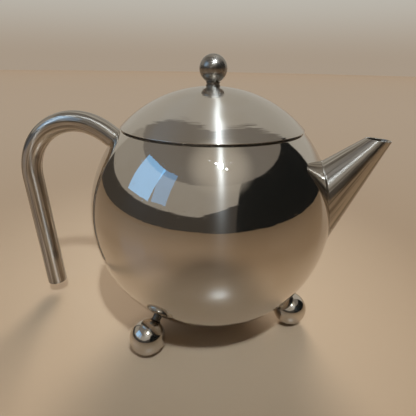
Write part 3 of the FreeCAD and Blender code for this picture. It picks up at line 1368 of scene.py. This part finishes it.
@dataclass
class Knob(SubAssembly):
    """The ball knob, its collar, and the screw and washer under the lid."""

    ball_radius: float = 7.5 * MM
    ball_rounding: float = 0.15 * MM
    collar_radius: float = 3.9 * MM
    collar_height: float = 2.5 * MM
    collar_sink: float = 0.1 * MM
    collar_taper: float = 0.45 * MM
    collar_rounding: float = 0.12 * MM
    collar_points: int = 96
    groove: float = 0.35 * MM
    groove_half: float = 0.28 * MM
    screw_radius: float = 2.0 * MM
    screw_grip: float = 7.0 * MM
    screw_points: int = 48
    head_radius: float = 3.8 * MM
    head_height: float = 2.4 * MM
    head_rounding: float = 0.4 * MM
    socket_radius: float = 1.443 * MM
    socket_depth: float = 1.3 * MM
    washer_radius: float = 6.0 * MM
    washer_sheet: float = 1.0 * MM
    washer_rounding: float = 0.25 * MM
    washer_points: int = 64
    washer_steps: int = 6

    def seat_z(self) -> float:
        """Give the height where the ball sits on its collar."""
        return self.layout.centre.z + self.layout.lid_radius + self.collar_height

    def washer_z(self) -> float:
        """Give the height of the washer's underside."""
        return self.layout.lid_inside_z(self.washer_radius) - self.washer_sheet

    def centre(self) -> Vector:
        """Give the ball's centre."""
        return level(self.seat_z() + half_width(self.ball_radius, self.collar_radius))

    def build(self) -> list[Piece]:
        """Model the ball, its collar, the screw and the washer, and dress them.

        Returns:
            The pieces.
        """
        ball = Workpiece.flat_ball("knob_sphere", self.centre(), self.ball_radius, self.seat_z(),
                                   self.ball_rounding)
        steel = WORN.material(Grain(self.centre(), SIDEWAYS), "knob")
        satin = [self.shared.satin]
        return [ball.finish(Body.LID, ["knob_ball"], [steel]),
                # The collar takes the dark steel, as painted shade under the ball.
                self.collar().finish(Body.LID, ["knob_neck"], [self.shared.dull_shade]),
                self.screw().finish(Body.LID, ["knob_screw"], satin, Slot.SATIN),
                self.washer().finish(Body.LID, ["knob_washer"], satin, Slot.SATIN)]

    def collar(self) -> Workpiece:
        """Model the grooved collar.

        Returns:
            The workpiece.
        """
        layout = self.layout
        radius, half = self.collar_radius, self.groove_half
        waist = radius - self.groove
        top = self.seat_z()
        foot = layout.centre.z + half_width(layout.lid_radius, radius) - self.collar_sink
        middle = (top + foot) / 2
        corners = [(radius, middle - 2 * half), (radius, middle + 2 * half),
                   (radius, top - self.collar_taper)]
        profile = [(LID_HOLE, foot), (radius, foot), corners[0], (waist, middle - half),
                   (waist, middle + half), *corners[1:], (waist, top), (LID_HOLE, top)]
        return Workpiece.turned_upright("knob_collar", profile, self.collar_points, corners,
                                        self.collar_rounding)

    def screw(self) -> Workpiece:
        """Model the socket screw.

        Returns:
            The workpiece.
        """
        washer = self.washer_z()
        head = washer - self.head_height
        profile = [(self.socket_radius, head + self.socket_depth), (self.socket_radius, head),
                   (self.head_radius, head), (self.head_radius, washer), (self.screw_radius, washer),
                   (self.screw_radius, self.seat_z() + self.screw_grip)]
        return Workpiece.turned_upright("knob_bolt", profile, self.screw_points, [(self.head_radius, head)],
                                        self.head_rounding, is_ring=False)

    def washer(self) -> Workpiece:
        """Model the dished washer.

        Returns:
            The workpiece.
        """
        low = self.washer_z()
        profile = [(LID_HOLE, low), (self.washer_radius, low)]
        for step in range(self.washer_steps + 1):
            radius = self.washer_radius - (self.washer_radius - LID_HOLE) * step / self.washer_steps
            profile.append((radius, self.layout.lid_inside_z(radius)))
        return Workpiece.turned_upright("knob_dished_washer", profile, self.washer_points,
                                        [(self.washer_radius, low)], self.washer_rounding)


@dataclass(frozen=True)
class Lamp:
    """A soft lamp: its angles about the teapot in degrees, its distance, size, power, colour and beam."""

    name: str
    azimuth: float
    elevation: float
    distance: float
    width: float
    height: float
    power: float
    colour: Colour
    beam: float = 180.0


SPOT = Lamp("bright_spot", azimuth=24.0, elevation=56.0, distance=1.3, width=0.05, height=0.09, power=0.185,
            colour=(0.76, 0.89, 1.0), beam=18.0)
WIDE_PANEL = Lamp("cool_panel_wide", azimuth=-60.0, elevation=30.0, distance=1.5, width=0.66, height=0.74,
                  power=1.45, colour=(0.14, 0.51, 1.0))
NARROW_PANEL = Lamp("cool_panel_narrow", azimuth=-37.0, elevation=30.0, distance=1.5, width=0.38,
                    height=0.70, power=0.40, colour=(0.08, 0.46, 1.0))


@dataclass
class Studio:
    """The floor, the light and the camera."""

    layout: Layout
    floor_radius: float = 6.0
    floor_points: int = 96
    floor_colour: Colour = (0.430, 0.310, 0.205)
    floor_roughness: float = 0.26
    floor_gloss: float = 0.35
    wall_colour: Colour = (0.500, 0.475, 0.420)
    horizon_colour: Colour = (0.385, 0.312, 0.240)
    wall_fade: Limits = (0.00, 0.16)
    tent_radius: float = 6.5
    tent_segments: int = 48
    tent_rings: int = 24
    back_way: tuple[float, float, float] = (-0.1, 0.995, 0.0)
    back_edge: Limits = (0.545, 0.575)
    side_colour: Colour = (0.380, 0.350, 0.300)
    dark_colour: Colour = (0.055, 0.048, 0.040)
    dark_edge: Limits = (0.210, 0.230)
    dark_slant: float = -0.3
    black_colour: Colour = (0.006, 0.007, 0.007)
    black_edge: Limits = (0.525, 0.555)
    ceiling_colour: Colour = (0.215, 0.195, 0.170)
    ceiling_edge: Limits = (0.620, 0.640)
    glow_colour: Colour = (0.520, 0.480, 0.410)
    glow_edge: Limits = (0.86, 1.0)
    back_light_power: float = 3.2
    back_light_colour: Colour = (1.0, 0.97, 0.92)
    back_light_spread: float = 24.0
    back_light_azimuth: float = 190.0
    back_light_elevation: float = 28.0
    back_light_distance: float = 4.0
    camera_azimuth: float = 10.835
    camera_elevation: float = 21.102
    camera_distance: float = 232.14 * MM
    camera_lens: float = 32.921
    camera_sensor: float = 36.0
    camera_near: float = 10.0 * MM
    camera_turn: float = 0.3965
    camera_nod: float = -0.0371
    camera_roll: float = 1.1115

    def build(self) -> None:
        """Set up the whole studio."""
        bpy.context.scene.view_settings.view_transform = "Standard"
        self.floor()
        self.walls()
        self.tent()
        for lamp in (SPOT, WIDE_PANEL, NARROW_PANEL):
            self.lamp(lamp)
        self.back_light()
        self.camera()

    def floor(self) -> None:
        """Lay the plain pale floor."""
        work = Workpiece.added("studio_floor", bpy.ops.mesh.primitive_circle_add, vertices=self.floor_points,
                               radius=self.floor_radius, fill_type="TRIFAN", location=ORIGIN)
        paint = bpy.data.materials.new("pale_floor")
        paint.use_nodes = True
        inputs = paint.node_tree.nodes["Principled BSDF"].inputs
        inputs["Base Color"].default_value = (*self.floor_colour, 1.0)
        inputs["Roughness"].default_value = self.floor_roughness
        inputs["Specular IOR Level"].default_value = self.floor_gloss
        work.piece.data.materials.append(paint)

    def walls(self) -> None:
        """Shade the plain pale walls of the studio."""
        world = bpy.data.worlds.new("studio_walls")
        bpy.context.scene.world = world
        world.use_nodes = True
        wires = Wiring(world.node_tree)
        way = wires.add("SeparateXYZ", {0: wires.add("TexCoord").outputs["Generated"]}).outputs
        shade = wires.add("Background", {"Strength": 1.0, "Color": self.wall_shade(wires, way["Z"])})
        wires.add("OutputWorld", {"Surface": shade.outputs[0]})

    def wall_shade(self, wires: Wiring, rise: Socket) -> Socket:
        """Shade a pale wall down to the floor's own tone, by how far a line of sight rises."""
        low = wires.spread(rise, self.wall_fade, 1.0, 0.0)
        return wires.blend(low, self.wall_colour, self.horizon_colour)

    def tent(self) -> None:
        """Hang a light tent round the teapot, which the steel shows and the camera looks through."""
        work = Workpiece.ball("light_tent", self.layout.centre, self.tent_radius, self.tent_segments,
                              self.tent_rings)
        cloth = bpy.data.materials.new("tent_cloth")
        cloth.use_nodes = True
        cloth.cycles.emission_sampling = "NONE"
        wires = Wiring(cloth.node_tree)
        place = wires.add("TexCoord").outputs["Object"]
        look = wires.vector("NORMALIZE", wires.vector("SUBTRACT", place, self.layout.centre))
        shade = wires.add("Emission", {"Strength": 1.0, "Color": self.tent_shade(wires, look)})
        wires.add("OutputMaterial", {"Surface": shade.outputs[0]})
        work.piece.data.materials.append(cloth)
        work.piece.visible_camera = False
        work.piece.visible_shadow = False

    def tent_shade(self, wires: Wiring, look: Socket) -> Socket:
        """Shade the tent: grey cloths in front, a black one on the right, and the pale wall behind.

        Args:
            wires: The cloth's nodes.
            look: The way from the teapot to a place on the tent.

        Returns:
            The colour.
        """
        way = wires.add("SeparateXYZ", {0: look}).outputs
        rightward = wires.math("MAXIMUM", way["X"], 0.0)
        slant = wires.math("ADD", wires.math("MULTIPLY", rightward, self.dark_slant), way["Z"])
        dark = wires.spread(slant, self.dark_edge, 1.0, 0.0)
        front = wires.blend(dark, self.side_colour, self.dark_colour)
        glow = wires.vector("DOT_PRODUCT", look, self.toward(SPOT.azimuth, SPOT.elevation))
        for value, edge, colour in ((way["X"], self.black_edge, self.black_colour),
                                    (way["Z"], self.ceiling_edge, self.ceiling_colour),
                                    (glow, self.glow_edge, self.glow_colour)):
            front = wires.blend(wires.spread(value, edge), front, colour)
        flat_way = wires.vector("NORMALIZE", wires.vector("MULTIPLY", look, (1.0, 1.0, 0.0)))
        behind = wires.spread(wires.vector("DOT_PRODUCT", flat_way, self.back_way), self.back_edge)
        return wires.blend(behind, front, self.wall_shade(wires, way["Z"]))

    def toward(self, azimuth: float, elevation: float) -> Vector:
        """Give the way from the teapot to a place in the studio.

        Args:
            azimuth: The turn in degrees, with 0 on the camera's side.
            elevation: The rise in degrees.

        Returns:
            The way, of length 1.
        """
        turn = math.radians(azimuth)
        rise = math.radians(elevation)
        return Vector((math.sin(turn) * math.cos(rise), -math.cos(turn) * math.cos(rise), math.sin(rise)))

    def lamp(self, lamp: Lamp) -> None:
        """Hang a soft lamp that faces the teapot.

        Args:
            lamp: The lamp.
        """
        light = bpy.data.lights.new(lamp.name, "AREA")
        light.shape = "RECTANGLE"
        light.size = lamp.width
        light.size_y = lamp.height
        light.energy = lamp.power
        light.color = lamp.colour
        light.spread = math.radians(lamp.beam)
        self.hang(light, lamp.azimuth, lamp.elevation, lamp.distance)

    def back_light(self) -> None:
        """Hang a far soft light behind, which the steel doesn't show."""
        far = bpy.data.lights.new("back_light", "SUN")
        far.energy = self.back_light_power
        far.color = self.back_light_colour
        far.angle = math.radians(self.back_light_spread)
        holder = self.hang(far, self.back_light_azimuth, self.back_light_elevation,
                           self.back_light_distance)
        holder.visible_glossy = False

    def hang(self, light: bpy.types.Light, azimuth: float, elevation: float,
             distance: float) -> bpy.types.Object:
        """Put a light in its place, facing the teapot and out of the camera's sight.

        Args:
            light: The light.
            azimuth: Its turn about the teapot, in degrees.
            elevation: Its rise, in degrees.
            distance: How far from the body's centre it is.

        Returns:
            The light's object.
        """
        way = self.toward(azimuth, elevation)
        holder = bpy.data.objects.new(light.name, light)
        holder.location = self.layout.centre + way * distance
        holder.rotation_euler = facing(way)
        holder.visible_camera = False
        bpy.context.scene.collection.objects.link(holder)
        return holder

    def camera(self) -> None:
        """Place the camera at the photograph's angle."""
        back = self.toward(self.camera_azimuth, self.camera_elevation)
        turn = math.radians(self.camera_azimuth)
        right = Vector((math.cos(turn), math.sin(turn), 0.0))
        ahead = back * -1
        above = right.cross(ahead)
        sideways = Matrix.Rotation(math.radians(self.camera_turn), 3, above)
        ahead = sideways @ ahead
        right = sideways @ right
        nod = Matrix.Rotation(math.radians(self.camera_nod), 3, right)
        ahead = nod @ ahead
        above = nod @ above
        roll = math.radians(self.camera_roll)
        level_right = right * math.cos(roll) + above * math.sin(roll)
        level_above = above * math.cos(roll) - right * math.sin(roll)
        pose = Matrix((level_right, level_above, ahead * -1)).transposed().to_4x4()
        pose.translation = self.layout.centre + back * self.camera_distance
        eye = bpy.data.cameras.new("studio_camera")
        eye.lens = self.camera_lens
        eye.sensor_width = self.camera_sensor
        eye.clip_start = self.camera_near
        holder = bpy.data.objects.new("studio_camera", eye)
        holder.matrix_world = pose
        bpy.context.scene.collection.objects.link(holder)
        bpy.context.scene.camera = holder


def main() -> None:
    """Build the teapot piece by piece, report the pieces, and set up the studio."""
    logging.basicConfig(level=logging.INFO, format="%(message)s")
    layout = Layout.from_frame()
    grain = Grain(layout.centre, UP)
    shared = SharedSteels(SATIN.material(grain, "inside"), WELD_AND_SHADE.material(grain, "joints"),
                          DULL_SHADE.material(grain, "collar_and_spout_bore"))
    for sub_assembly in (PotBody, LidSeat, Spout, Handle, Feet, Lid, Knob):
        for piece in sub_assembly(layout, shared).build():
            log.info("%s: %d faces", piece.name, len(piece.data.polygons))
    Studio(layout).build()


if __name__ == "__main__":
    main()
